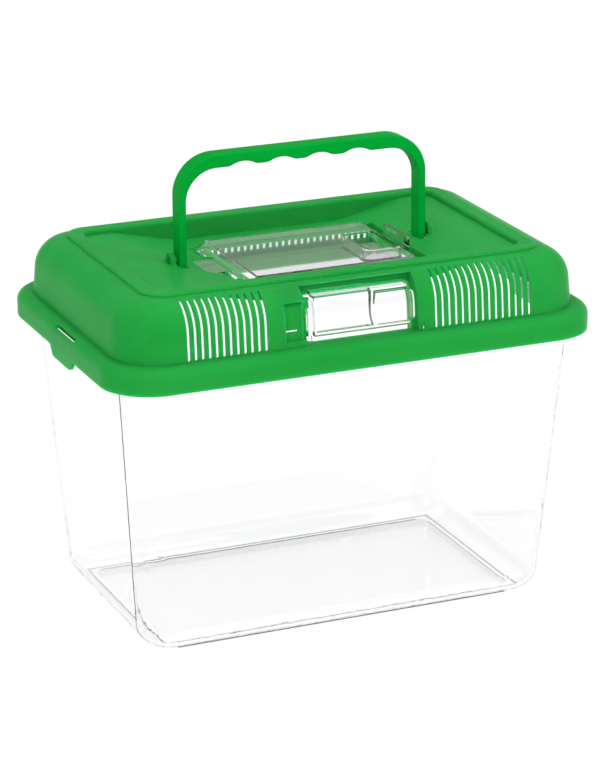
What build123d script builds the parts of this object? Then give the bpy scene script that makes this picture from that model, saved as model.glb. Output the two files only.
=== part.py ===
"""Plastic pet keeper.

A clear tapered tank stands on a foot ring. A domed lid drops over its rim and carries a swinging
strap handle, a clear top hatch in a sunken deck and a clear bowed flap in its front wall.
Millimetres, +Z up, origin at the centre of the foot ring where it stands, front towards -Y.
"""

import os
from math import cos, radians, sin, tan

from build123d import *

# ---------------------------------------------------------------- tank
FOOT_LENGTH = 225.0
FOOT_WIDTH = 128.5
FOOT_CORNER = 9.5
FOOT_HEIGHT = 5.5
FOOT_WALL = 2.5
BASE_LENGTH = 253.0  # outside of the walls carried straight down to the floor
BASE_WIDTH = 153.0
WALL_FLARE = 13.0  # how far each wall leans out between the floor and the rim
TANK_HEIGHT = 183.8
TANK_CORNER = 21.0
BASE_ROUNDING = 15.0  # outside radius where the walls run into the floor
TANK_WALL = 2.0
RIM_REACH = 6.2  # flange that the lid sits on, outwards from the wall
RIM_THICKNESS = 3.0
RIM_ROUNDING = 2.6

# ---------------------------------------------------------------- lid
LID_LENGTH = 300.0
LID_WIDTH = 200.0
LID_CORNER = 30.5
LID_WALL = 2.0
SKIRT_DROP = 12.8  # below the top of the tank's rim
SKIRT_ROUNDING = 6.3
SHOULDER = 8.0  # ledge between the skirt and the dome
DOME_CORNER = 29.0
DOME_RISE = 33.2
DOME_DRAFT = 5.0  # degrees
DOME_ROUNDING = 19.0
PLATEAU_LENGTH = 244.2
PLATEAU_WIDTH = 147.2
PLATEAU_CORNER = 13.5
PLATEAU_STEP = 2.0
PLATEAU_ROUNDING = 1.8

# sunken deck in the plateau: level round the hatch, rising gently to a shelf at each end
DECK_RIM = 9.6  # rim left round the deck
DECK_CORNER = 7.0
DECK_DEPTH = 12.0
DECK_DRAFT = 4.0  # degrees
DECK_RIM_ROUNDING = 2.0
SHELF_DEPTH = 3.0  # below the plateau
RAMP_FOOT = 52.0  # from the middle of the lid
RAMP_TOP = 92.5
RAMP_ROUNDING = 50.0

# air slots
SLOT_PITCH = 4.2
FRONT_SLOT_WIDTH = 1.9
REAR_SLOT_WIDTH = 2.4
SLOT_BOTTOM = 0.2  # above the shoulder
SLOT_REACH = 19.0  # how far in from the dome's foot the slots are cut
FRONT_SLOT_TOP = 31.9
REAR_SLOT_TOP = 7.4
LEFT_SLOT_COUNT = 12
LEFT_SLOT_START = -58.6  # slot nearest the flap
RIGHT_SLOT_COUNT = 15
RIGHT_SLOT_START = 45.8
REAR_SLOT_COUNT = 50

# snap tabs at the two ends
TAB_WIDTH = 39.5
TAB_TIP_WIDTH = 29.5
TAB_CENTRE = -2.8  # Y of its middle
TAB_DROP = 6.5
TAB_CORNER = 4.0
TAB_THICKNESS = 2.2
TAB_INSET = 0.3
TAB_SLOT_LENGTH = 32.0
TAB_SLOT_WIDTH = 2.1
TAB_SLOT_CENTRE = -8.0  # Y of its middle
TAB_SLOT_SLOPE = 46.0  # degrees from upright, through the rounded top of the skirt
BEAD_LENGTH = 28.0
BEAD_HEIGHT = 3.0
BEAD_GAP = 0.3  # bead to the tank's rim, sideways and below

# ---------------------------------------------------------------- top hatch
HATCH_LEFT = -51.2  # also its hinge line
HATCH_RIGHT = 64.0
HATCH_WIDTH = 80.6
HATCH_HEIGHT = 5.0
HATCH_SLOPE = 7.9  # how far its two ends lean in
HATCH_WALL = 1.6
HATCH_GAP = 0.5  # to the seat all round
HATCH_ROUNDING = 0.8
SEAT_DEPTH = 0.5  # seat floor below the deck
SEAT_LEDGE_SIDE = 2.8
SEAT_LEDGE_END = 5.2
WELL_LENGTH = 21.5
WELL_WIDTH = 37.0
WELL_DEPTH = 7.0
WELL_CORNER = 4.0
WELL_EDGE = 7.1  # from the well to the hatch's right-hand edge
LIP_LENGTH = 30.0
LIP_HEIGHT = 9.3  # above the seat floor
LIP_THICKNESS = 3.2
LIP_EDGE = 0.3  # from the lip to the hatch's right-hand edge
TONGUE_LENGTH = 12.0
TONGUE_WIDTH = 27.0
TONGUE_THICKNESS = 1.6
TONGUE_GAP = 0.6

HATCH_HINGE_RISE = 0.3  # hinge line above the seat floor
KNUCKLE_RADIUS = 1.8
KNUCKLE_LENGTH = 13.0
KNUCKLE_CENTRE = 24.3  # from the middle of the hatch
KNUCKLE_GAP = 0.35  # to the lugs and the floor around it
PIN_RADIUS = 1.0
PIN_CLEARANCE = 0.06
PIN_REACH = 1.8  # into a lug
LUG_THICKNESS = 2.4
LUG_RADIUS = 2.2

# ---------------------------------------------------------------- front flap
FLAP_LEFT = -32.4  # also its hinge line
FLAP_RIGHT = 31.6
FLAP_BOTTOM = 0.5  # above the shoulder
FLAP_TOP = 27.6
FLAP_WALL = 1.6
FLAP_BACK = 5.4  # back of its flange, in from the dome's surface
FLAP_GAP = 0.5
FLAP_OVERLAP = 1.2  # flange over the edge of the opening
FLAP_OPENING_TOP = 25.7
BULGE_FRONT = 0.4  # bowed window, in from the dome's surface
BULGE_LEFT = 3.0  # window in from the flange's edges
BULGE_RIGHT = 2.6
BULGE_BOTTOM = 4.2
BULGE_TOP = 1.0
FLAP_WELL_LENGTH = 19.6
FLAP_WELL_HEIGHT = 18.0
FLAP_WELL_RISE = 1.5  # above the window's lower edge
FLAP_WELL_BOW = 2.0  # how far its left side bows out
PULL_THICKNESS = 1.8
PULL_HEIGHT = 15.5
PULL_RISE = 7.5  # above the flange's lower edge
PULL_REACH = 1.0  # out of the dome's surface
CATCH_RADIUS = 1.2
CATCH_LENGTH = 1.6
CATCH_RISE = 6.8
RECESS_LEFT_GAP = 2.4  # hinge line to the recess's left wall
RECESS_RIGHT_GAP = 2.8
RECESS_TOP = 31.6
RECESS_BACK = 16.0  # deepest part, in from the dome's foot
FLAP_HINGE_INSET = 2.0  # hinge line's foot, in from the dome's foot
FLAP_HINGE_TILT = 15.0  # degrees, leaning back like the dome
BARREL_RADIUS = 1.9
BARREL_LENGTH = 4.0
BARREL_SPAN = 24.0  # foot of the lower barrel to the top of the upper one
FLAP_PIN_RADIUS = 1.1
FLAP_PIN_REACH = 1.7
FLAP_LUG_THICKNESS = 2.0
FLAP_LUG_RADIUS = 2.3
FLAP_NOTCH = 4.4  # reach of the flap's notch round the upper lug
REST_LEFT = -47.0  # side pocket that the opened flap swings into
REST_BOTTOM = 3.0
REST_TOP = 25.0
REST_DEPTH = 4.0
REST_SLIT_LENGTH = 7.4
REST_SLIT_HEIGHT = 1.4
REST_SLIT_RISE = 4.6  # above the side pocket's lower edge
REST_SLIT_EDGE = 1.7
SIDE_SLIT_HEIGHT = 5.0
SIDE_SLIT_WIDTH = 1.6

# ---------------------------------------------------------------- handle
HANDLE_HALF = 77.6  # middle of the lid to the outside of a leg
HANDLE_TOP = 69.1  # above the deck
HANDLE_CORNER = 24.0
STRAP_THICKNESS = 4.4
STRAP_WIDTH = 12.0
STRAP_ROUNDING = 1.1
HANDLE_PLANE = -2.0  # Y of the upright handle
GRIP_THICKNESS = 7.8  # top bar between the finger hollows
GRIP_CORNER = 19.0  # inside corner between the bar and a leg
GRIP_PITCH = 23.7
GRIP_CENTRE = -1.8  # X of the middle of the row of hollows
GRIP_HOLLOWS = 4
GRIP_HOLLOW_DEPTH = 2.35
GRIP_HOLLOW_RADIUS = 15.5
GRIP_HOLLOW_ROUNDING = 7.0
PIVOT_RISE = 8.0  # above the deck's level part
LEG_SLOT_REACH = 9.5  # deck slot under each leg, forwards and backwards from the pivot
LEG_SLOT_GAP = 0.6
EAR_THICKNESS = 3.0
EAR_RADIUS = 5.0
EAR_FOOT_HALF = 7.0
EAR_GAP = 2.2
HANDLE_PIN_RADIUS = 2.2
HANDLE_PIN_CLEARANCE = 0.06

# ---------------------------------------------------------------- heights and places that follow
SPAN = LID_LENGTH  # longer than anything that a cut has to pass
MERGE = 1.0  # how far joined shapes run into each other
seat_z = TANK_HEIGHT
skirt_z = seat_z - SKIRT_DROP
shoulder_z = seat_z + LID_WALL
dome_z = shoulder_z + DOME_RISE
plateau_z = dome_z + PLATEAU_STEP
deck_z = plateau_z - DECK_DEPTH
shelf_z = plateau_z - SHELF_DEPTH
hatch_z = deck_z - SEAT_DEPTH
pivot_z = deck_z + PIVOT_RISE
handle_z = deck_z + HANDLE_TOP
tank_length = BASE_LENGTH + 2 * WALL_FLARE
tank_width = BASE_WIDTH + 2 * WALL_FLARE
rim_length = tank_length + 2 * RIM_REACH
rim_width = tank_width + 2 * RIM_REACH
rim_z = TANK_HEIGHT - RIM_THICKNESS
dome_length = LID_LENGTH - 2 * SHOULDER
dome_width = LID_WIDTH - 2 * SHOULDER
dome_front = -dome_width / 2
deck_length = PLATEAU_LENGTH - 2 * DECK_RIM
deck_width = PLATEAU_WIDTH - 2 * DECK_RIM
flap_bottom_z = shoulder_z + FLAP_BOTTOM
flap_top_z = shoulder_z + FLAP_TOP


def block(length, width, corner, bottom, top, rounding=0.0, draft=0.0):
    """Upright block with round corners, a round upper edge and sides that lean in by draft."""
    with BuildPart() as body:
        with BuildSketch(Plane.XY.offset(bottom)):
            RectangleRounded(length, width, corner)
        extrude(amount=top - bottom, taper=draft)
        if rounding > 0:
            fillet(body.faces().sort_by(Axis.Z)[-1].edges(), rounding)
    return body.part


def box(x_range, y_range, z_range):
    """Plain box between two corners."""
    low, high = zip(x_range, y_range, z_range)
    with BuildPart() as body:
        with Locations([tuple((a + b) / 2 for a, b in zip(low, high))]):
            Box(*[b - a for a, b in zip(low, high)])
    return body.part


def bar(radius, start, direction, length):
    """Round bar from a start point."""
    with BuildPart() as body:
        with BuildSketch(Plane(origin=start, z_dir=direction)):
            Circle(radius)
        extrude(amount=length)
    return body.part


def dome(inset):
    """The domed part of the lid, with every surface moved in by inset."""
    lean = tan(radians(DOME_DRAFT)) * (inset + SKIRT_DROP / 2)
    return block(
        dome_length - 2 * inset + 2 * lean,
        dome_width - 2 * inset + 2 * lean,
        DOME_CORNER - inset + lean,
        shoulder_z - inset - SKIRT_DROP / 2,
        dome_z - inset,
        DOME_ROUNDING - inset,
        DOME_DRAFT,
    )


def lid_form(inset, bottom):
    """Skirt, dome and plateau as one solid, with every surface moved in by inset."""
    with BuildPart() as form:
        add(block(
            LID_LENGTH - 2 * inset,
            LID_WIDTH - 2 * inset,
            LID_CORNER - inset,
            bottom,
            shoulder_z - inset,
            SKIRT_ROUNDING - inset,
        ))
        add(dome(inset))
        add(block(
            PLATEAU_LENGTH - 2 * inset,
            PLATEAU_WIDTH - 2 * inset,
            PLATEAU_CORNER - inset,
            dome_z - inset - DOME_ROUNDING / 2,
            plateau_z - inset,
            PLATEAU_ROUNDING,
        ))
    return form.part


# ================================================================ tank
def tank_form(inset, bottom, top):
    """The tank's tapered body, with every wall moved in by inset and its lower edge rounded."""
    flare = 2 * WALL_FLARE / (TANK_HEIGHT - FOOT_HEIGHT)
    with BuildPart() as form:
        for z in (bottom, top):
            grow = flare * (z - FOOT_HEIGHT) - 2 * inset
            with BuildSketch(Plane.XY.offset(z)):
                RectangleRounded(BASE_LENGTH + grow, BASE_WIDTH + grow, TANK_CORNER - inset)
        loft(ruled=True)
        fillet(form.faces().sort_by(Axis.Z)[0].edges(), BASE_ROUNDING - inset)
    return form.part


with BuildPart() as tank:
    add(tank_form(0.0, FOOT_HEIGHT, TANK_HEIGHT))
    add(block(
        rim_length,
        rim_width,
        TANK_CORNER + RIM_REACH,
        rim_z,
        TANK_HEIGHT,
        RIM_ROUNDING,
    ))
    with BuildSketch():
        RectangleRounded(FOOT_LENGTH, FOOT_WIDTH, FOOT_CORNER)
        RectangleRounded(
            FOOT_LENGTH - 2 * FOOT_WALL,
            FOOT_WIDTH - 2 * FOOT_WALL,
            FOOT_CORNER - FOOT_WALL,
            mode=Mode.SUBTRACT,
        )
    extrude(amount=FOOT_HEIGHT)
    add(tank_form(TANK_WALL, FOOT_HEIGHT + TANK_WALL, TANK_HEIGHT + TANK_WALL), mode=Mode.SUBTRACT)

tank.part.label = "tank"

# ================================================================ lid
hatch_half = HATCH_WIDTH / 2
hinge_z = hatch_z + HATCH_HINGE_RISE
knuckle_room = KNUCKLE_RADIUS + KNUCKLE_GAP
knuckle_inner = KNUCKLE_CENTRE - KNUCKLE_LENGTH / 2
knuckle_outer = KNUCKLE_CENTRE + KNUCKLE_LENGTH / 2
lug_starts = (
    knuckle_inner - KNUCKLE_GAP - LUG_THICKNESS,
    knuckle_outer + KNUCKLE_GAP,
)
seat_left = HATCH_LEFT - knuckle_room - HATCH_GAP
seat_right = HATCH_RIGHT + HATCH_GAP
seat_half = hatch_half + HATCH_GAP
tongue_left = HATCH_LEFT - TONGUE_LENGTH
notch_half = TONGUE_WIDTH / 2 + TONGUE_GAP
opening_left = HATCH_LEFT + HATCH_SLOPE
opening_right = HATCH_RIGHT - SEAT_LEDGE_END
opening_half = seat_half - SEAT_LEDGE_SIDE

flap_axis = Vector(0, sin(radians(FLAP_HINGE_TILT)), cos(radians(FLAP_HINGE_TILT)))
flap_hinge = Plane(
    origin=(FLAP_LEFT, dome_front + FLAP_HINGE_INSET, flap_bottom_z),
    x_dir=(1, 0, 0),
    z_dir=flap_axis,
)
flap_lug_start = BARREL_SPAN + KNUCKLE_GAP
recess_left = FLAP_LEFT - RECESS_LEFT_GAP
recess_right = FLAP_RIGHT + RECESS_RIGHT_GAP
front_opening_x = (FLAP_LEFT + FLAP_OVERLAP, FLAP_RIGHT - FLAP_OVERLAP)


def shell_slab(outer, inner, x_range, z_range):
    """Curved slab that follows the dome's front between two insets."""
    with BuildPart() as form:
        add(box(x_range, (dome_front - DOME_CORNER, dome_front + RECESS_BACK - FLAP_GAP), z_range))
        add(dome(outer), mode=Mode.INTERSECT)
        add(dome(inner), mode=Mode.SUBTRACT)
    return form.part


def recess(x_range, z_range, depth, grow):
    """Pocket in the dome's front that follows its curve, with its walls moved out by grow."""
    with BuildPart() as form:
        add(box(
            (x_range[0] - grow, x_range[1] + grow),
            (dome_front - DOME_CORNER, dome_front + RECESS_BACK + grow),
            (z_range[0] - grow, z_range[1] + grow),
        ))
        add(dome(depth + grow), mode=Mode.SUBTRACT)
    return form.part


def deck(grow):
    """The sunken deck with its walls moved out and its floor moved down by grow."""
    slope = 2 * tan(radians(DECK_DRAFT)) * (DECK_DEPTH + grow)
    end = deck_length / 2 + grow + MERGE
    with BuildPart() as form:
        add(block(
            deck_length + 2 * grow - slope,
            deck_width + 2 * grow - slope,
            DECK_CORNER + grow - slope / 2,
            deck_z - grow,
            plateau_z,
            draft=-DECK_DRAFT,
        ))
        with BuildSketch(Plane.XZ) as profile:
            Polygon(
                (-end, plateau_z),
                (-end, shelf_z - grow),
                (-RAMP_TOP, shelf_z - grow),
                (-RAMP_FOOT, deck_z - grow),
                (RAMP_FOOT, deck_z - grow),
                (RAMP_TOP, shelf_z - grow),
                (end, shelf_z - grow),
                (end, plateau_z),
                align=None,
            )
            bends = profile.vertices().filter_by(lambda v: abs(v.X) in (RAMP_FOOT, RAMP_TOP))
            fillet(bends, RAMP_ROUNDING)
        extrude(amount=SPAN / 2, both=True, mode=Mode.INTERSECT)
    return form.part


def pockets(grow):
    """Everything sunk into the lid's outside, with its walls moved out by grow."""
    with BuildPart() as form:
        add(deck(grow))
        seat_levels = (hatch_z - grow, shelf_z)
        add(box(
            (seat_left - grow, seat_right + grow),
            (-seat_half - grow, seat_half + grow),
            seat_levels,
        ))
        add(box(
            (tongue_left - TONGUE_GAP - grow, seat_left),
            (-notch_half - grow, notch_half + grow),
            seat_levels,
        ))
        add(recess(
            (recess_left, recess_right),
            (shoulder_z, shoulder_z + RECESS_TOP),
            FLAP_BACK + FLAP_GAP,
            grow,
        ))
        add(recess(
            (REST_LEFT, recess_left + MERGE),
            (shoulder_z + REST_BOTTOM, shoulder_z + REST_TOP),
            REST_DEPTH,
            grow,
        ))
    return form.part


def slot_row(first, step, count, height, width):
    """Sketch of upright air slots in a row."""
    middle = shoulder_z + (SLOT_BOTTOM + height) / 2
    with Locations([(first + step * k, middle) for k in range(count)]):
        SlotOverall(height - SLOT_BOTTOM, width, rotation=90)


with BuildPart() as lid:
    add(lid_form(0.0, skirt_z))
    add(pockets(0.0), mode=Mode.SUBTRACT)
    plateau_top = lid.faces().filter_by(Axis.Z).group_by(Axis.Z)[-1][0]
    fillet(plateau_top.inner_wires()[0].edges(), DECK_RIM_ROUNDING)
    with BuildPart(mode=Mode.PRIVATE) as cavity:
        add(lid_form(LID_WALL, skirt_z - LID_WALL))
        add(pockets(LID_WALL), mode=Mode.SUBTRACT)
    add(cavity.part, mode=Mode.SUBTRACT)

    # air slots, front and rear
    slot_plane = dome_width / 2 - SLOT_REACH
    with BuildSketch(Plane.XZ.offset(slot_plane)):
        for start, step, count in (
            (LEFT_SLOT_START, -SLOT_PITCH, LEFT_SLOT_COUNT),
            (RIGHT_SLOT_START, SLOT_PITCH, RIGHT_SLOT_COUNT),
        ):
            slot_row(start, step, count, FRONT_SLOT_TOP, FRONT_SLOT_WIDTH)
    extrude(amount=SPAN, mode=Mode.SUBTRACT)
    with BuildSketch(Plane.XZ.offset(-slot_plane)):
        rear_start = -SLOT_PITCH * (REAR_SLOT_COUNT - 1) / 2
        slot_row(rear_start, SLOT_PITCH, REAR_SLOT_COUNT, REAR_SLOT_TOP, REAR_SLOT_WIDTH)
    extrude(amount=-SPAN, mode=Mode.SUBTRACT)

    # the hatch's opening, the notch for its tongue and the slots under its knuckles
    through_z = (hatch_z - LID_WALL - MERGE, hatch_z + MERGE)
    add(box((opening_left, opening_right), (-opening_half, opening_half), through_z), mode=Mode.SUBTRACT)
    add(box(
        (tongue_left - TONGUE_GAP, HATCH_LEFT + TONGUE_THICKNESS + TONGUE_GAP),
        (-notch_half, notch_half),
        through_z,
    ), mode=Mode.SUBTRACT)
    for side in (-1, 1):
        add(box(
            (HATCH_LEFT - knuckle_room, HATCH_LEFT + knuckle_room),
            sorted((side * (knuckle_inner - KNUCKLE_GAP), side * (knuckle_outer + KNUCKLE_GAP))),
            through_z,
        ), mode=Mode.SUBTRACT)

    # lugs that hold the hatch's pins
    for side in (-1, 1):
        for start in lug_starts:
            y_range = sorted((side * start, side * (start + LUG_THICKNESS)))
            add(bar(LUG_RADIUS, (HATCH_LEFT, y_range[0], hinge_z), (0, 1, 0), LUG_THICKNESS))
            add(box(
                (HATCH_LEFT - LUG_RADIUS, HATCH_LEFT + LUG_RADIUS),
                y_range,
                (hatch_z - MERGE, hinge_z),
            ))
            add(bar(
                PIN_RADIUS + PIN_CLEARANCE,
                (HATCH_LEFT, y_range[0], hinge_z),
                (0, 1, 0),
                LUG_THICKNESS,
            ), mode=Mode.SUBTRACT)

    # the flap's opening, with the slits beside it
    with BuildPart(mode=Mode.PRIVATE) as front_cut:
        add(box(
            front_opening_x,
            (dome_front, dome_front + RECESS_BACK + LID_WALL + MERGE),
            (shoulder_z, shoulder_z + FLAP_OPENING_TOP),
        ))
        slit_left = REST_LEFT + REST_SLIT_EDGE
        slit_z = shoulder_z + REST_BOTTOM + REST_SLIT_RISE
        add(box(
            (slit_left, slit_left + REST_SLIT_LENGTH),
            (dome_front, dome_front + RECESS_BACK),
            (slit_z, slit_z + REST_SLIT_HEIGHT),
        ))
        side_slit_left = recess_right + LID_WALL + FLAP_GAP
        with BuildSketch(Plane.XZ.offset(slot_plane)):
            with Locations((side_slit_left, shoulder_z + FLAP_BOTTOM)):
                Triangle(
                    a=SIDE_SLIT_WIDTH,
                    b=SIDE_SLIT_HEIGHT,
                    c=SIDE_SLIT_HEIGHT,
                    align=(Align.MIN, Align.MIN),
                )
        extrude(amount=SPAN)
    add(front_cut.part, mode=Mode.SUBTRACT)

    # relief behind the flap's upper barrel
    relief_start = BARREL_SPAN - BARREL_LENGTH - KNUCKLE_GAP
    with BuildSketch(flap_hinge.offset(relief_start)):
        Circle(BARREL_RADIUS + KNUCKLE_GAP)
    extrude(amount=flap_lug_start - relief_start, mode=Mode.SUBTRACT)

    # upper lug of the flap, trimmed to the dome's surface, and the two pin holes
    with BuildPart(mode=Mode.PRIVATE) as flap_lug:
        with BuildSketch(flap_hinge.offset(flap_lug_start)):
            Circle(FLAP_LUG_RADIUS)
            with Locations((-(RECESS_LEFT_GAP + MERGE) / 2, 0)):
                Rectangle(RECESS_LEFT_GAP + MERGE, 2 * FLAP_LUG_RADIUS)
        extrude(amount=FLAP_LUG_THICKNESS)
        add(dome(0.0), mode=Mode.INTERSECT)
    add(flap_lug.part)
    with BuildSketch(flap_hinge.offset(flap_lug_start - KNUCKLE_GAP)):
        Circle(FLAP_PIN_RADIUS + PIN_CLEARANCE)
    extrude(amount=FLAP_LUG_THICKNESS + 2 * KNUCKLE_GAP, mode=Mode.SUBTRACT)
    with BuildSketch(flap_hinge):
        Circle(FLAP_PIN_RADIUS + PIN_CLEARANCE)
    extrude(amount=-(FLAP_BOTTOM + LID_WALL + MERGE), mode=Mode.SUBTRACT)

    # slots that the handle's legs stand in, and the ears beside them that hold its pins
    ear_x = HANDLE_HALF + EAR_GAP
    ear_foot = DECK_DEPTH - SHELF_DEPTH
    ear_foot *= (ear_x - RAMP_FOOT) / (RAMP_TOP - RAMP_FOOT)
    leg_slot_x = (HANDLE_HALF - STRAP_THICKNESS - LEG_SLOT_GAP, HANDLE_HALF + LEG_SLOT_GAP)
    for side in (-1, 1):
        add(box(
            sorted(side * x for x in leg_slot_x),
            (HANDLE_PLANE - LEG_SLOT_REACH, HANDLE_PLANE + LEG_SLOT_REACH),
            (deck_z - LID_WALL, shelf_z),
        ), mode=Mode.SUBTRACT)
        ear_plane = Plane(
            origin=(side * ear_x, HANDLE_PLANE, deck_z),
            x_dir=(0, side, 0),
            z_dir=(side, 0, 0),
        )
        with BuildSketch(ear_plane):
            Polygon(
                (-EAR_FOOT_HALF, ear_foot - MERGE),
                (EAR_FOOT_HALF, ear_foot - MERGE),
                (EAR_RADIUS, PIVOT_RISE),
                (-EAR_RADIUS, PIVOT_RISE),
                align=None,
            )
            with Locations((0, PIVOT_RISE)):
                Circle(EAR_RADIUS)
        extrude(amount=EAR_THICKNESS)
        add(bar(
            HANDLE_PIN_RADIUS + HANDLE_PIN_CLEARANCE,
            (side * HANDLE_HALF, HANDLE_PLANE, pivot_z),
            (side, 0, 0),
            EAR_GAP + EAR_THICKNESS + LEG_SLOT_GAP,
        ), mode=Mode.SUBTRACT)

    # snap tabs, the slots above them and the beads that catch under the tank's rim
    for side in (-1, 1):
        tab_outer = LID_LENGTH / 2 - TAB_INSET
        tab_plane = Plane(
            origin=(side * (tab_outer - TAB_THICKNESS), TAB_CENTRE, skirt_z),
            x_dir=(0, side, 0),
            z_dir=(side, 0, 0),
        )
        with BuildSketch(tab_plane) as tab_shape:
            Polygon(
                (-TAB_WIDTH / 2, MERGE),
                (-TAB_WIDTH / 2, 0),
                (-TAB_TIP_WIDTH / 2, -TAB_DROP),
                (TAB_TIP_WIDTH / 2, -TAB_DROP),
                (TAB_WIDTH / 2, 0),
                (TAB_WIDTH / 2, MERGE),
                align=None,
            )
            fillet(tab_shape.vertices().group_by(Axis.Y)[0], TAB_CORNER)
        extrude(amount=TAB_THICKNESS)
        slope = radians(TAB_SLOT_SLOPE)
        with BuildSketch(Plane(
            origin=(
                side * (LID_LENGTH / 2 - SKIRT_ROUNDING),
                TAB_SLOT_CENTRE,
                shoulder_z - SKIRT_ROUNDING,
            ),
            x_dir=(0, 1, 0),
            z_dir=(side * sin(slope), 0, cos(slope)),
        )):
            SlotOverall(TAB_SLOT_LENGTH, TAB_SLOT_WIDTH)
        extrude(amount=SKIRT_ROUNDING + MERGE, mode=Mode.SUBTRACT)
        bead_top = rim_z - BEAD_GAP
        add(box(
            sorted((side * (rim_length / 2 + BEAD_GAP), side * (LID_LENGTH / 2 - LID_WALL + MERGE))),
            (TAB_CENTRE - BEAD_LENGTH / 2, TAB_CENTRE + BEAD_LENGTH / 2),
            (bead_top - BEAD_HEIGHT, bead_top),
        ))

lid.part.label = "lid"

# ================================================================ top hatch
slope_run = HATCH_WALL * (HATCH_SLOPE**2 + HATCH_HEIGHT**2) ** 0.5 / HATCH_HEIGHT
well_right = HATCH_RIGHT - WELL_EDGE
well_x = well_right - WELL_LENGTH / 2
hatch_top_z = hatch_z + HATCH_HEIGHT
well_z = hatch_top_z - WELL_DEPTH


def hatch_form(run, height):
    """Flat tray upside down: its ends start run inside the hatch's edges and lean in."""
    lean = HATCH_SLOPE * height / HATCH_HEIGHT
    with BuildPart() as form:
        with BuildSketch(Plane.XZ):
            Polygon(
                (HATCH_LEFT + run, hatch_z),
                (HATCH_RIGHT - run, hatch_z),
                (HATCH_RIGHT - run - lean, hatch_z + height),
                (HATCH_LEFT + run + lean, hatch_z + height),
                align=None,
            )
        wall = HATCH_WALL if run > 0 else 0.0
        extrude(amount=hatch_half - wall, both=True)
    return form.part


with BuildPart() as top_hatch:
    add(hatch_form(0.0, HATCH_HEIGHT))
    fillet(top_hatch.faces().sort_by(Axis.Z)[-1].edges(), HATCH_ROUNDING)
    add(hatch_form(slope_run, HATCH_HEIGHT - HATCH_WALL), mode=Mode.SUBTRACT)
    with BuildSketch(Plane.XY.offset(well_z - HATCH_WALL)):
        with Locations((well_x, 0)):
            RectangleRounded(
                WELL_LENGTH + 2 * HATCH_WALL,
                WELL_WIDTH + 2 * HATCH_WALL,
                WELL_CORNER + HATCH_WALL,
            )
    extrude(amount=WELL_DEPTH)
    with BuildSketch(Plane.XY.offset(well_z)):
        with Locations((well_x, 0)):
            RectangleRounded(WELL_LENGTH, WELL_WIDTH, WELL_CORNER)
    extrude(amount=WELL_DEPTH + MERGE, mode=Mode.SUBTRACT)
    lip_right = HATCH_RIGHT - LIP_EDGE
    add(box(
        (lip_right - LIP_THICKNESS, lip_right),
        (-LIP_LENGTH / 2, LIP_LENGTH / 2),
        (hatch_z, hatch_z + LIP_HEIGHT),
    ))
    add(box(
        (tongue_left, HATCH_LEFT + slope_run),
        (-TONGUE_WIDTH / 2, TONGUE_WIDTH / 2),
        (hatch_z, hatch_z + TONGUE_THICKNESS),
    ))
    for side in (-1, 1):
        for start in lug_starts:
            low = side * (start - KNUCKLE_GAP)
            high = side * (start + LUG_THICKNESS + KNUCKLE_GAP)
            reach = LUG_RADIUS + 2 * KNUCKLE_GAP
            add(box(
                (HATCH_LEFT - reach, HATCH_LEFT + reach),
                sorted((low, high)),
                (hatch_z - MERGE, hatch_top_z + MERGE),
            ), mode=Mode.SUBTRACT)
        middle = side * KNUCKLE_CENTRE
        start_y = middle - KNUCKLE_LENGTH / 2
        add(bar(KNUCKLE_RADIUS, (HATCH_LEFT, start_y, hinge_z), (0, 1, 0), KNUCKLE_LENGTH))
        pin_over = KNUCKLE_GAP + PIN_REACH
        add(bar(
            PIN_RADIUS,
            (HATCH_LEFT, start_y - pin_over, hinge_z),
            (0, 1, 0),
            KNUCKLE_LENGTH + 2 * pin_over,
        ))

top_hatch.part.label = "top_hatch"

# ================================================================ front flap
flange_front = FLAP_BACK - FLAP_WALL
bulge_x = (FLAP_LEFT + BULGE_LEFT, FLAP_RIGHT - BULGE_RIGHT)
bulge_z = (flap_bottom_z + BULGE_BOTTOM, flap_top_z - BULGE_TOP)
flap_well_x = (bulge_x[1] - FLAP_WELL_LENGTH, bulge_x[1])
flap_well_z = bulge_z[0] + FLAP_WELL_RISE


def flap_well(grow):
    """Upright prism of the thumb well, open to the right, its left side bowed outwards."""
    left = flap_well_x[0] - grow
    low = flap_well_z - grow
    high = flap_well_z + FLAP_WELL_HEIGHT + grow
    right = flap_well_x[1] + MERGE
    with BuildPart() as form:
        with BuildSketch(Plane.XZ.offset(PLATEAU_WIDTH / 2)):
            with BuildLine():
                ThreePointArc((left, low), (left - FLAP_WELL_BOW, (low + high) / 2), (left, high))
                Polyline((left, high), (right, high), (right, low), (left, low))
            make_face()
        extrude(amount=SPAN)
    return form.part


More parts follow.
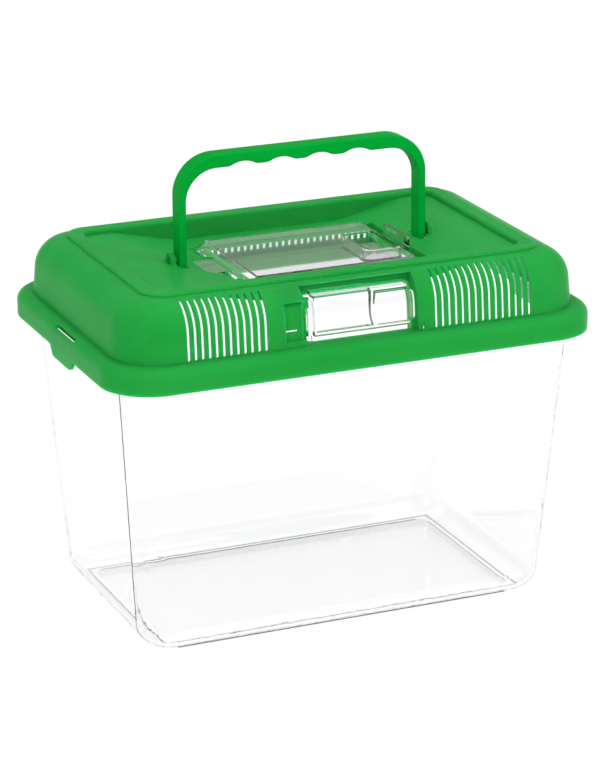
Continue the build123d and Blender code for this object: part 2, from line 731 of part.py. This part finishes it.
with BuildPart() as front_flap:
    add(shell_slab(flange_front, FLAP_BACK, (FLAP_LEFT, FLAP_RIGHT), (flap_bottom_z, flap_top_z)))
    with BuildPart(mode=Mode.PRIVATE) as window:
        add(shell_slab(BULGE_FRONT, FLAP_BACK, bulge_x, bulge_z))
        add(flap_well(0.0), mode=Mode.SUBTRACT)
    with BuildPart(mode=Mode.PRIVATE) as window_hollow:
        add(shell_slab(
            BULGE_FRONT + FLAP_WALL,
            FLAP_BACK + FLAP_WALL,
            (bulge_x[0] + FLAP_WALL, bulge_x[1] - FLAP_WALL),
            (bulge_z[0] + FLAP_WALL, bulge_z[1] - FLAP_WALL),
        ))
        add(flap_well(FLAP_WALL), mode=Mode.SUBTRACT)
    add(window.part)
    add(window_hollow.part, mode=Mode.SUBTRACT)
    pull_z = flap_bottom_z + PULL_RISE
    add(shell_slab(
        -PULL_REACH,
        FLAP_BACK,
        (FLAP_RIGHT - PULL_THICKNESS, FLAP_RIGHT),
        (pull_z, pull_z + PULL_HEIGHT),
    ))
    catch_z = flap_bottom_z + CATCH_RISE
    catch_y = dome_front + (flange_front + FLAP_BACK) / 2 + tan(radians(DOME_DRAFT)) * CATCH_RISE
    add(bar(CATCH_RADIUS, (FLAP_RIGHT - MERGE, catch_y, catch_z), (1, 0, 0), CATCH_LENGTH + MERGE))

    # notch round the lid's lug, then the hinge barrels and their pins
    with BuildSketch(flap_hinge.offset(BARREL_SPAN)):
        Rectangle(2 * FLAP_NOTCH, SPAN)
    extrude(amount=SPAN, mode=Mode.SUBTRACT)
    for start in (FLAP_GAP, BARREL_SPAN - BARREL_LENGTH):
        with BuildSketch(flap_hinge.offset(start)):
            Circle(BARREL_RADIUS)
        extrude(amount=BARREL_LENGTH)
    with BuildSketch(flap_hinge.offset(FLAP_GAP)):
        Circle(FLAP_PIN_RADIUS)
    extrude(amount=-(FLAP_GAP + FLAP_BOTTOM + FLAP_PIN_REACH))
    with BuildSketch(flap_hinge.offset(BARREL_SPAN)):
        Circle(FLAP_PIN_RADIUS)
    extrude(amount=KNUCKLE_GAP + FLAP_PIN_REACH)

front_flap.part.label = "front_flap"

# ================================================================ handle
grip_z = handle_z - GRIP_THICKNESS
bump_reach = GRIP_PITCH * GRIP_HOLLOWS / 2 + MERGE  # past the ends of the row of hollows

with BuildPart() as handle:
    with BuildPart(mode=Mode.PRIVATE) as strap:
        strap_plane = Plane.XZ.offset(-HANDLE_PLANE)
        leg_height = handle_z - pivot_z
        with BuildSketch(strap_plane):
            with Locations((0, pivot_z)):
                RectangleRounded(2 * HANDLE_HALF, 2 * leg_height, HANDLE_CORNER)
            with BuildSketch(mode=Mode.PRIVATE) as hand_opening:
                with Locations((0, pivot_z)):
                    RectangleRounded(
                        2 * (HANDLE_HALF - STRAP_THICKNESS),
                        2 * (leg_height - GRIP_THICKNESS),
                        GRIP_CORNER,
                    )
                hollow_z = grip_z + GRIP_HOLLOW_DEPTH - GRIP_HOLLOW_RADIUS
                hollow_start = GRIP_CENTRE - GRIP_PITCH * (GRIP_HOLLOWS - 1) / 2
                hollow_places = [
                    (hollow_start + GRIP_PITCH * count, hollow_z) for count in range(GRIP_HOLLOWS)
                ]
                with Locations(hollow_places):
                    Circle(GRIP_HOLLOW_RADIUS)
                bumps = hand_opening.vertices().filter_by(
                    lambda point: abs(point.Y - grip_z) < MERGE and abs(point.X) < bump_reach
                )
                fillet(bumps, GRIP_HOLLOW_ROUNDING)
            add(hand_opening.sketch, mode=Mode.SUBTRACT)
            with Locations((0, pivot_z)):
                Rectangle(
                    2 * HANDLE_HALF,
                    leg_height,
                    align=(Align.CENTER, Align.MIN),
                    mode=Mode.INTERSECT,
                )
        extrude(amount=STRAP_WIDTH / 2, both=True)
        sides = strap.faces().filter_by(Axis.Y).edges()
        fillet([edge for edge in sides if edge.center().Z > pivot_z + STRAP_ROUNDING], STRAP_ROUNDING)
    add(strap.part)
    for side in (-1, 1):
        inner_x = side * (HANDLE_HALF - STRAP_THICKNESS)
        with BuildPart(mode=Mode.PRIVATE) as foot:
            add(bar(STRAP_WIDTH / 2, (inner_x, HANDLE_PLANE, pivot_z), (side, 0, 0), STRAP_THICKNESS))
            fillet(foot.edges().filter_by(GeomType.CIRCLE), STRAP_ROUNDING)
        add(foot.part)
        add(bar(
            HANDLE_PIN_RADIUS,
            (inner_x + side * MERGE, HANDLE_PLANE, pivot_z),
            (side, 0, 0),
            STRAP_THICKNESS - MERGE + EAR_GAP + EAR_THICKNESS,
        ))

handle.part.label = "handle"

# ================================================================ files
os.makedirs("parts", exist_ok=True)
export_step(tank.part, "parts/tank.step")
export_step(lid.part, "parts/lid.step")
export_step(top_hatch.part, "parts/top_hatch.step")
export_step(front_flap.part, "parts/front_flap.step")
export_step(handle.part, "parts/handle.step")

for piece in (tank, lid, top_hatch, front_flap, handle):
    bounds = piece.part.bounding_box()
    print(piece.part.label, len(piece.part.solids()), round(piece.part.volume), bounds)
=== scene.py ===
# %% [markdown]
# # A plastic pet keeper
# The real object is five injection mouldings: a clear tank, a green lid, a deeper green strap handle
# and two clear doors. Their solids come from the packed frame, so this lesson is about the other half
# of a likeness: a studio that makes thin clear plastic readable, and finishes for moulded plastic.

# %% Load the frame
from math import cos, radians

import bmesh
import bpy
from mathutils import Matrix, Vector

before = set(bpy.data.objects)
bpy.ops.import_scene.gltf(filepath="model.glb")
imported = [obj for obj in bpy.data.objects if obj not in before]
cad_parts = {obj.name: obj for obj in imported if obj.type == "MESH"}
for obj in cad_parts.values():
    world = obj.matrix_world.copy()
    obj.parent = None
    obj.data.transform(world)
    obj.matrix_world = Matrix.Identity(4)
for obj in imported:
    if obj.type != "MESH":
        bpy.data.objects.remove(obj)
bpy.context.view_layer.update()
scene = bpy.context.scene
print("nodes:", sorted(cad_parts))

# %% [markdown]
# ## Camera
# The photograph was solved for its camera: a long lens about two metres away, turned to the left of
# the front and looking down by nineteen degrees. A long lens keeps the tank's edges nearly parallel.
# The small shift is where the photograph's middle lies off the lens's axis.

# %% Camera
PHOTO_HEIGHT = 780  # pixels; the longer side, which the sensor spans
FOCAL_PIXELS = 3251.59
SENSOR = 36.0
CAMERA_PLACE = Vector((-0.70962, -1.68192, 0.75103))
CAMERA_RIGHT = Vector((0.92045, -0.39081, -0.00655)).normalized()
CAMERA_AHEAD = Vector((0.36740, 0.87079, -0.32671)).normalized()
SHIFT_RIGHT_PIXELS, SHIFT_DOWN_PIXELS = 0.614, 10.425

camera_data = bpy.data.cameras.new("photo_camera")
camera_data.sensor_width = SENSOR
camera_data.lens = FOCAL_PIXELS * SENSOR / PHOTO_HEIGHT
camera_data.shift_x = -SHIFT_RIGHT_PIXELS / PHOTO_HEIGHT
camera_data.shift_y = SHIFT_DOWN_PIXELS / PHOTO_HEIGHT
camera_data.clip_start, camera_data.clip_end = 0.05, 30.0
camera = bpy.data.objects.new("photo_camera", camera_data)
scene.collection.objects.link(camera)
camera_up = CAMERA_RIGHT.cross(CAMERA_AHEAD).normalized()
turn = Matrix((CAMERA_RIGHT, camera_up, -CAMERA_AHEAD)).transposed()
camera.matrix_world = Matrix.Translation(CAMERA_PLACE) @ turn.to_4x4()
scene.camera = camera
print("lens:", round(camera_data.lens, 2), "mm at", tuple(round(v, 3) for v in CAMERA_PLACE))

# %% [markdown]
# ## A short way to wire nodes
# Every finish here is procedural: patterns made by nodes from a point's own coordinates. Wiring them by
# hand takes three lines a node, so this little class adds a node and links its inputs in one.

# %% Node helper


class Net:
    """Short names for adding nodes and links to a node tree."""

    def __init__(self, tree):
        self.tree = tree

    def add(self, kind, inputs=(), **settings):
        node = self.tree.nodes.new(kind)
        for name, value in settings.items():
            setattr(node, name, value)
        for socket, value in dict(inputs).items():
            if isinstance(value, bpy.types.NodeSocket):
                self.tree.links.new(value, node.inputs[socket])
            else:
                node.inputs[socket].default_value = value
        return node

    def maths(self, operation, first, second=0.0, clamp=False):
        return self.add(
            "ShaderNodeMath", {0: first, 1: second}, operation=operation, use_clamp=clamp
        ).outputs["Value"]

    def span(self, value, low, high, to_low=0.0, to_high=1.0):
        return self.add("ShaderNodeMapRange", {
            "Value": value, "From Min": low, "From Max": high, "To Min": to_low, "To Max": to_high,
        }, interpolation_type="SMOOTHSTEP").outputs["Result"]

    def noise(self, place, scale, detail=2.0, distortion=0.0):
        return self.add("ShaderNodeTexNoise", {
            "Vector": place, "Scale": scale, "Detail": detail, "Distortion": distortion,
        }).outputs["Fac"]

    def stretch(self, place, amounts, turned=(0.0, 0.0, 0.0)):
        return self.add("ShaderNodeMapping", {
            "Vector": place, "Scale": amounts, "Rotation": turned,
        }).outputs["Vector"]

    def blend(self, factor, first, second):
        return self.add("ShaderNodeMix", {
            "Factor": factor, "A": first, "B": second,
        }, data_type="RGBA").outputs["Result"]


print("node helper:", [name for name in vars(Net) if not name.startswith("_")])

# %% [markdown]
# ## Studio
# Clear plastic shows only what it bends and mirrors. In a room that is white all over it would vanish,
# so this light tent is bright overhead, dims to a band at about twenty degrees up, and has one dark gap
# on the side where the photographer stood. Rims, corners and edges bend that gap into view as thin dark
# lines. The dim band is what the green lid mirrors at a low angle, which keeps its colour deep. The room
# is described by the direction of a ray alone, so it needs no walls. Two softboxes light the object's
# front. A third stands in the dark gap, hidden from mirrored and bent rays, and softens the shadows.

# %% Studio
TENT_STRENGTH = 1.0
# The height of a ray's direction, and how bright the tent is there.
TENT_LEVELS = ((0.0, 0.8), (0.2, 0.4), (0.38, 0.32), (0.6, 0.95), (1.0, 1.35))
GAP_SIDE = Vector((-0.36740, -0.87079, 0.25)).normalized()
GAP_EDGE, GAP_CORE = cos(radians(52)), cos(radians(34))
GAP_LEVEL = 0.05

world = bpy.data.worlds.new("light_tent")
scene.world = world
world.use_nodes = True
world.node_tree.nodes.clear()
net = Net(world.node_tree)
ray = net.add("ShaderNodeTexCoord").outputs["Generated"]
ray_height = net.add("ShaderNodeSeparateXYZ", {0: ray}).outputs["Z"]
ramp = net.add("ShaderNodeValToRGB", {"Fac": ray_height})
stops = ramp.color_ramp.elements
for stop, (height, level) in zip((stops[0], stops[1]), (TENT_LEVELS[0], TENT_LEVELS[-1])):
    stop.position, stop.color = height, (level, level, level, 1)
for height, level in TENT_LEVELS[1:-1]:
    stops.new(height).color = (level, level, level, 1)
towards_gap = net.add("ShaderNodeVectorMath", {0: ray, 1: GAP_SIDE}, operation="DOT_PRODUCT")
gap = net.span(towards_gap.outputs["Value"], GAP_EDGE, GAP_CORE, 1.0, GAP_LEVEL)
shade = net.add("ShaderNodeVectorMath", {0: ramp.outputs["Color"], "Scale": gap}, operation="SCALE")
back = net.add("ShaderNodeBackground", {
    "Color": shade.outputs["Vector"], "Strength": TENT_STRENGTH,
})
net.add("ShaderNodeOutputWorld", {"Surface": back.outputs["Background"]})


def soft_lamp(name, place, aim, size, watts):
    """A square softbox that points at a place on the object."""
    data = bpy.data.lights.new(name, "AREA")
    data.shape = "SQUARE"
    data.size = size
    data.energy = watts
    lamp = bpy.data.objects.new(name, data)
    scene.collection.objects.link(lamp)
    facing = (Vector(aim) - Vector(place)).to_track_quat("-Z", "Y").to_matrix().to_4x4()
    lamp.matrix_world = Matrix.Translation(place) @ facing
    return lamp


OBJECT_MIDDLE, LID_MIDDLE = (0, 0, 0.15), (0, 0, 0.2)
soft_lamp("key_softbox", (-1.6, -1.6, 1.9), OBJECT_MIDDLE, size=1.2, watts=22)
soft_lamp("fill_softbox", (1.6, -1.3, 1.2), OBJECT_MIDDLE, size=1.2, watts=12)
front = soft_lamp("front_softbox", (-0.7, -1.9, 0.9), LID_MIDDLE, size=1.6, watts=19)
front.visible_glossy = front.visible_transmission = False
scene.view_settings.view_transform = "Standard"
scene.view_settings.look = "None"

# %% [markdown]
# ## Floor
# A plain white light table, matt so that it mirrors nothing. Its own glow and the light that it reflects
# add up to just past white, so that what is seen through the tank's walls stays white as well. A pad of
# more light lies right under the tank, where it has to come up through the tank's floor too. A faint
# mottling keeps the table from being a mathematically flat colour.

# %% Floor
FLOOR_HALF = 6.0
FLOOR_GLOW, PAD_GLOW = 0.88, 1.04
PAD_HALF_LENGTH, PAD_HALF_WIDTH, PAD_FADE = 0.1125, 0.064, 0.02
floor_form = bmesh.new()
bmesh.ops.create_grid(floor_form, x_segments=1, y_segments=1, size=FLOOR_HALF)
floor_mesh = bpy.data.meshes.new("floor")
floor_form.to_mesh(floor_mesh)
floor_form.free()
floor = bpy.data.objects.new("floor", floor_mesh)
scene.collection.objects.link(floor)
floor_material = bpy.data.materials.new("white_floor")
floor_material.use_nodes = True
floor_shader = floor_material.node_tree.nodes["Principled BSDF"]
floor_shader.inputs["Roughness"].default_value = 0.9
floor_shader.inputs["Specular IOR Level"].default_value = 0.0
floor_shader.inputs["Emission Color"].default_value = (1.0, 1.0, 1.0, 1)
net = Net(floor_material.node_tree)
place = net.add("ShaderNodeTexCoord").outputs["Object"]
mottling = net.noise(place, 3.0)
tone = net.blend(mottling, (0.13, 0.13, 0.13, 1), (0.14, 0.14, 0.14, 1))
apart = net.add("ShaderNodeSeparateXYZ", {0: place})
beyond_pad = net.maths("MAXIMUM", *(
    net.maths("SUBTRACT", net.maths("ABSOLUTE", apart.outputs[axis]), half)
    for axis, half in (("X", PAD_HALF_LENGTH), ("Y", PAD_HALF_WIDTH))
))
glow = net.span(beyond_pad, -PAD_FADE, PAD_FADE, PAD_GLOW, FLOOR_GLOW)
net.tree.links.new(tone, floor_shader.inputs["Base Color"])
net.tree.links.new(glow, floor_shader.inputs["Emission Strength"])
floor_mesh.materials.append(floor_material)
print("floor:", 2 * FLOOR_HALF, "m wide")

# %% [markdown]
# ## Marks that every moulding has
# All five pieces come out of polished steel moulds, and all show the same two things close up. The
# melt freezes as it runs, which leaves long, very shallow waves, and the steel's grain leaves a fine
# skin. Handling adds hairline scratches that only show in how sharply the surface mirrors. One node
# group makes all three from object coordinates, in metres, and each plastic takes what it needs.

# %% Group: moulded skin


def node_group(name, inputs, outputs):
    """An empty shader group with its sockets; gives the group, its net and its two end nodes."""
    group = bpy.data.node_groups.new(name, "ShaderNodeTree")
    for label, kind, value in inputs:
        socket = group.interface.new_socket(label, in_out="INPUT", socket_type=kind)
        socket.default_value = value
    for label, kind in outputs:
        group.interface.new_socket(label, in_out="OUTPUT", socket_type=kind)
    net = Net(group)
    return group, net, net.add("NodeGroupInput"), net.add("NodeGroupOutput")


skin_group, net, given, gives = node_group(
    "moulded_skin",
    (("Wave", "NodeSocketFloat", 1.0), ("Grain", "NodeSocketFloat", 1.0),
     ("Smooth", "NodeSocketFloat", 0.02), ("Worn", "NodeSocketFloat", 0.10)),
    (("Height", "NodeSocketFloat"), ("Roughness", "NodeSocketFloat")),
)
place = net.add("ShaderNodeTexCoord").outputs["Object"]
SCRATCH_SHARE = 0.6  # of the wear; the rest comes from handled areas
wave = net.noise(net.stretch(place, (0.5, 1.0, 1.6)), 38.0, detail=1.0, distortion=0.6)
grain = net.noise(place, 1900.0, detail=3.0)
height = net.maths("ADD", net.maths("MULTIPLY", wave, given.outputs["Wave"]),
                   net.maths("MULTIPLY", grain, given.outputs["Grain"]))
scratch = 0.0
for turned in ((0.3, 0.5, 0.2), (1.1, -0.4, 0.9)):
    hair = net.noise(net.stretch(place, (14.0, 900.0, 300.0), turned), 1.0, detail=1.0)
    line = net.maths("SUBTRACT", 1.0, net.maths(
        "MULTIPLY", net.maths("ABSOLUTE", net.maths("SUBTRACT", hair, 0.5)), 60.0), clamp=True)
    scratch = line if scratch == 0.0 else net.maths("MAXIMUM", scratch, line)
handled = net.span(net.noise(place, 9.0, detail=3.0), 0.45, 0.75)
wear = net.maths("ADD", net.maths("MULTIPLY", scratch, SCRATCH_SHARE),
                 net.maths("MULTIPLY", handled, 1 - SCRATCH_SHARE))
rough = net.maths("ADD", given.outputs["Smooth"], net.maths(
    "MULTIPLY", wear, net.maths("SUBTRACT", given.outputs["Worn"], given.outputs["Smooth"])))
net.tree.links.new(height, gives.inputs["Height"])
net.tree.links.new(rough, gives.inputs["Roughness"])
print("group:", skin_group.name, len(skin_group.nodes), "nodes")

# %% [markdown]
# ## Pigment that never mixes quite evenly, and painted light
# The two green plastics are dyed in the machine. Where the melt runs slowly the colour is a touch
# deeper, and the flow leaves cloudy streaks along the piece. The second group mixes a light and a deep
# tone by such clouds. A third input paints in a lighter glow colour where a fourth, a mask, says so:
# painted light that stands in for light shining through a thin edge.

# %% Group: pigment flow and painted light
pigment_and_light_group, net, given, gives = node_group(
    "pigment_flow_and_painted_light",
    (("Light", "NodeSocketColor", (0.02, 0.35, 0.05, 1)), ("Deep", "NodeSocketColor", (0, 0.3, 0.03, 1)),
     ("Glow", "NodeSocketColor", (0.05, 0.45, 0.08, 1)), ("Edge", "NodeSocketFloat", 0.0)),
    (("Color", "NodeSocketColor"),),
)
place = net.add("ShaderNodeTexCoord").outputs["Object"]
cloud = net.noise(net.stretch(place, (0.6, 1.0, 1.4)), 14.0, detail=3.0, distortion=1.2)
streak = net.noise(net.stretch(place, (6.0, 60.0, 60.0)), 1.0, detail=2.0, distortion=0.8)
CLOUD_SHARE = 0.7  # of the mixture; the rest comes from streaks
mixed = net.maths("ADD", net.maths("MULTIPLY", net.span(cloud, 0.3, 0.7), CLOUD_SHARE),
                  net.maths("MULTIPLY", net.span(streak, 0.3, 0.7), 1 - CLOUD_SHARE))
tone = net.blend(mixed, given.outputs["Light"], given.outputs["Deep"])
# Painted light: the tone is blended towards the glow colour where the Edge mask says.
lit = net.blend(given.outputs["Edge"], tone, given.outputs["Glow"])
net.tree.links.new(lit, gives.inputs["Color"])
print("group:", pigment_and_light_group.name, len(pigment_and_light_group.nodes), "nodes")


def new_plastic(name):
    """An empty material; gives it with a net for its nodes and its Principled shader."""
    material = bpy.data.materials.new(name)
    material.use_nodes = True
    return material, Net(material.node_tree), material.node_tree.nodes["Principled BSDF"]


def add_group(net, group, **inputs):
    """Adds a node group and sets or links its inputs."""
    node = net.add("ShaderNodeGroup", node_tree=group)
    for label, value in inputs.items():
        if isinstance(value, bpy.types.NodeSocket):
            net.tree.links.new(value, node.inputs[label])
        else:
            node.inputs[label].default_value = value
    return node


def dress(node, material):
    """Gives a node of the packed frame its finish."""
    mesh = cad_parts[node].data
    mesh.materials.clear()
    mesh.materials.append(material)
    print(node, "->", material.name)


# %% [markdown]
# ## Clear plastic
# The tank, the hatch and the flap are taken to be polystyrene, which bends light like glass and is very
# faintly grey-green in the thick. Shadow rays pass straight through it, because light would otherwise
# reach the inside of the tank only by luck. The skin's long waves tilt the surface by a fraction of a
# degree, enough to make the lines seen through a wall waver as they do in the real thing.

# %% Clear plastic
clear_plastic, net, shader = new_plastic("clear_polystyrene")
shader.inputs["Base Color"].default_value = (1.0, 1.0, 1.0, 1)
shader.inputs["Transmission Weight"].default_value = 1.0
shader.inputs["IOR"].default_value = 1.49
skin = add_group(net, skin_group, Wave=1.0, Grain=0.0, Smooth=0.012, Worn=0.06)
bump = net.add("ShaderNodeBump", {"Height": skin.outputs["Height"], "Strength": 0.05, "Distance": 0.0006})
net.tree.links.new(skin.outputs["Roughness"], shader.inputs["Roughness"])
net.tree.links.new(bump.outputs["Normal"], shader.inputs["Normal"])
surface = net.tree.nodes["Material Output"]
passing = net.add("ShaderNodeBsdfTransparent", {"Color": (0.995, 0.996, 0.995, 1)})
choice = net.add("ShaderNodeMixShader", {
    "Fac": net.add("ShaderNodeLightPath").outputs["Is Shadow Ray"],
    1: shader.outputs["BSDF"],
    2: passing.outputs["BSDF"],
})
net.tree.links.new(choice.outputs["Shader"], surface.inputs["Surface"])
absorb = net.add("ShaderNodeVolumeAbsorption", {"Color": (0.62, 0.68, 0.65, 1), "Density": 6.0})
net.tree.links.new(absorb.outputs["Volume"], surface.inputs["Volume"])
dress("front_flap", clear_plastic)

# %% [markdown]
# ## Worn edges of the hatch
# Fingers and nails go to the hatch first, and its raised edges are rubbed until they look white. That
# is a change in roughness only: the plastic there stays clear but scatters what is behind it. The mask
# is the distance from the outline of the hatch's flat top, broken up so that the wear comes and goes.

# %% Hatch
TOP_MIDDLE_X, TOP_HALF_X, TOP_HALF_Y = 0.0064, 0.0497, 0.0403
TOP_HEIGHT, EDGE_HALF = 0.2135, 0.0009
RUBBED_ROUGHNESS = 0.85  # added where the edge is fully worn
hatch_plastic = clear_plastic.copy()
hatch_plastic.name = "clear_polystyrene_hatch"
net = Net(hatch_plastic.node_tree)
shader = net.tree.nodes["Principled BSDF"]
place = net.add("ShaderNodeTexCoord").outputs["Object"]
apart = net.add("ShaderNodeSeparateXYZ", {0: place})
from_middle = net.maths("ABSOLUTE", net.maths("SUBTRACT", apart.outputs["X"], TOP_MIDDLE_X))
inside = net.maths(
    "MAXIMUM",
    net.maths("SUBTRACT", from_middle, TOP_HALF_X),
    net.maths("SUBTRACT", net.maths("ABSOLUTE", apart.outputs["Y"]), TOP_HALF_Y),
)
outline = net.span(net.maths("ABSOLUTE", inside), EDGE_HALF * 0.5, EDGE_HALF, 1.0, 0.0)
near_top = net.span(apart.outputs["Z"], TOP_HEIGHT - 2 * EDGE_HALF, TOP_HEIGHT - EDGE_HALF)
broken = net.span(net.noise(place, 160.0, detail=3.0), 0.35, 0.55, 0.35, 1.0)
worn_edge = net.maths("MULTIPLY", net.maths("MULTIPLY", outline, near_top), broken)
plain_rough = shader.inputs["Roughness"].links[0].from_socket
rough = net.maths("ADD", plain_rough, net.maths("MULTIPLY", worn_edge, RUBBED_ROUGHNESS), clamp=True)
net.tree.links.new(rough, shader.inputs["Roughness"])
dress("top_hatch", hatch_plastic)

# %% [markdown]
# ## The tank's foot
# The tank is the same plastic. Where its walls turn in to meet the ring that it stands on, a thin line
# that is nearly black is painted all round the ring: painted shade for the dark that the curved foot
# bends into view and for its shadow on the floor. A copy of the plastic darkens there, by a mask made
# from how far a point lies outside the ring and from its height. Below the ring's top the copy is also
# painted a light grey: painted shade where the ring stands on the floor.

# %% Tank
RING_HALF_LENGTH, RING_HALF_WIDTH = 0.1125, 0.06425
SHADE_LINE_HEIGHT, SHADE_LINE_HALF = 0.0056, 0.0019
SHADE_LINE_REACH = 0.0018
SHADE_LINE_START, SHADE_LINE_FULL = -0.0004, -0.0001  # just inside the ring's outline
SHADE_LINE_SOLID = 0.6  # share of the painted shade line's height that is fully dark
RING_TOP, RING_TOP_SOFT = 0.0054, 0.0002
tank_plastic = clear_plastic.copy()
tank_plastic.name = "clear_polystyrene_tank"
net = Net(tank_plastic.node_tree)
shader = net.tree.nodes["Principled BSDF"]
apart = net.add("ShaderNodeSeparateXYZ", {0: net.add("ShaderNodeTexCoord").outputs["Object"]})
beyond = [
    net.maths("SUBTRACT", net.maths("ABSOLUTE", apart.outputs[axis]), half)
    for axis, half in (("X", RING_HALF_LENGTH), ("Y", RING_HALF_WIDTH))
]
outside = net.maths("MAXIMUM", *beyond)
# Painted shade: a nearly black line just inside the foot ring's outline, all round the tank.
near_ring = net.maths("MULTIPLY", net.span(outside, SHADE_LINE_START, SHADE_LINE_FULL),
                      net.span(outside, 0.0, SHADE_LINE_REACH, 1.0, 0.0))
off_shade_line = net.maths("ABSOLUTE", net.maths("SUBTRACT", apart.outputs["Z"], SHADE_LINE_HEIGHT))
painted_shade_line = net.maths("MULTIPLY", near_ring, net.span(off_shade_line, SHADE_LINE_HALF * SHADE_LINE_SOLID, SHADE_LINE_HALF, 1.0, 0.0))
# Painted shade: below the ring's top the plastic is painted light grey where it stands on the floor.
ring = net.span(apart.outputs["Z"], RING_TOP - RING_TOP_SOFT, RING_TOP, 1.0, 0.0)
foot_ring_shade = net.blend(ring, (1.0, 1.0, 1.0, 1), (0.90, 0.91, 0.905, 1))
painted_shade_tint = net.blend(painted_shade_line, foot_ring_shade, (0.002, 0.003, 0.0025, 1))
net.tree.links.new(painted_shade_tint, shader.inputs["Base Color"])
dress("tank", tank_plastic)

# %% [markdown]
# ## Green plastic of the lid
# The lid is taken to be dyed polypropylene that lets some light through. Its shaded sides stay bright,
# and it mirrors so little that only flat faces seen at a low angle turn milky. Its lower rim is painted
# a lighter green: painted light for the light from the bright floor that comes up through it.

# %% Lid
SKIRT_FOOT, SKIRT_BODY = 0.1705, 0.1745  # heights between which the skirt's edge is painted lighter: painted light
SKIRT_PAINTED_LIGHT = 0.5
green_lid, net, shader = new_plastic("green_translucent_polypropylene")
shader.inputs["IOR"].default_value = 1.1
shader.inputs["Subsurface Weight"].default_value = 0.7
shader.inputs["Subsurface Radius"].default_value = (0.1, 1.0, 0.3)
shader.inputs["Subsurface Scale"].default_value = 0.012
place = net.add("ShaderNodeTexCoord").outputs["Object"]
height_here = net.add("ShaderNodeSeparateXYZ", {0: place}).outputs["Z"]
# Painted light: the skirt's lower rim is blended towards the lighter glow colour.
edge = net.span(height_here, SKIRT_FOOT, SKIRT_BODY, SKIRT_PAINTED_LIGHT, 0.0)
pigment_and_light = add_group(net, pigment_and_light_group, Light=(0.018, 0.278, 0.052, 1), Deep=(0.012, 0.252, 0.043, 1),
                    Glow=(0.024, 0.340, 0.068, 1), Edge=edge)
skin = add_group(net, skin_group, Wave=0.6, Grain=0.35, Smooth=0.30, Worn=0.48)
bump = net.add("ShaderNodeBump", {"Height": skin.outputs["Height"], "Strength": 0.25, "Distance": 0.0004})
net.tree.links.new(pigment_and_light.outputs["Color"], shader.inputs["Base Color"])
net.tree.links.new(skin.outputs["Roughness"], shader.inputs["Roughness"])
net.tree.links.new(bump.outputs["Normal"], shader.inputs["Normal"])
dress("lid", green_lid)

# %% [markdown]
# ## Deeper green plastic of the handle
# The handle is a solid strap of the same stock with more pigment, so no light gets through it. The two
# halves of its mould met in the middle of the strap, which leaves a hairline ridge all round the bow.

# %% Handle
HANDLE_PLANE = -0.002  # Y of the upright handle's middle
PARTING_HALF = 0.00022
# Painted light: along the ridge the colour is blended towards a lighter green, besides the ridge's real
# bump.
PARTING_PAINTED_LIGHT, PARTING_RELIEF = 0.4, 0.5
green_handle, net, shader = new_plastic("green_handle_polypropylene")
shader.inputs["IOR"].default_value = 1.05
place = net.add("ShaderNodeTexCoord").outputs["Object"]
across = net.add("ShaderNodeSeparateXYZ", {0: place}).outputs["Y"]
off_middle = net.maths("ABSOLUTE", net.maths("SUBTRACT", across, HANDLE_PLANE))
parting_ridge_and_light = net.span(off_middle, 0.0, PARTING_HALF, 1.0, 0.0)
pigment_and_light = add_group(net, pigment_and_light_group, Light=(0.0010, 0.335, 0.036, 1), Deep=(0.0006, 0.300, 0.028, 1),
                    Glow=(0.004, 0.36, 0.045, 1), Edge=net.maths("MULTIPLY", parting_ridge_and_light, PARTING_PAINTED_LIGHT))
skin = add_group(net, skin_group, Wave=0.5, Grain=0.3, Smooth=0.28, Worn=0.42)
relief = net.maths("ADD", skin.outputs["Height"], net.maths("MULTIPLY", parting_ridge_and_light, PARTING_RELIEF))
bump = net.add("ShaderNodeBump", {"Height": relief, "Strength": 0.3, "Distance": 0.0004})
net.tree.links.new(pigment_and_light.outputs["Color"], shader.inputs["Base Color"])
net.tree.links.new(skin.outputs["Roughness"], shader.inputs["Roughness"])
net.tree.links.new(bump.outputs["Normal"], shader.inputs["Normal"])
dress("handle", green_handle)

# %% [markdown]
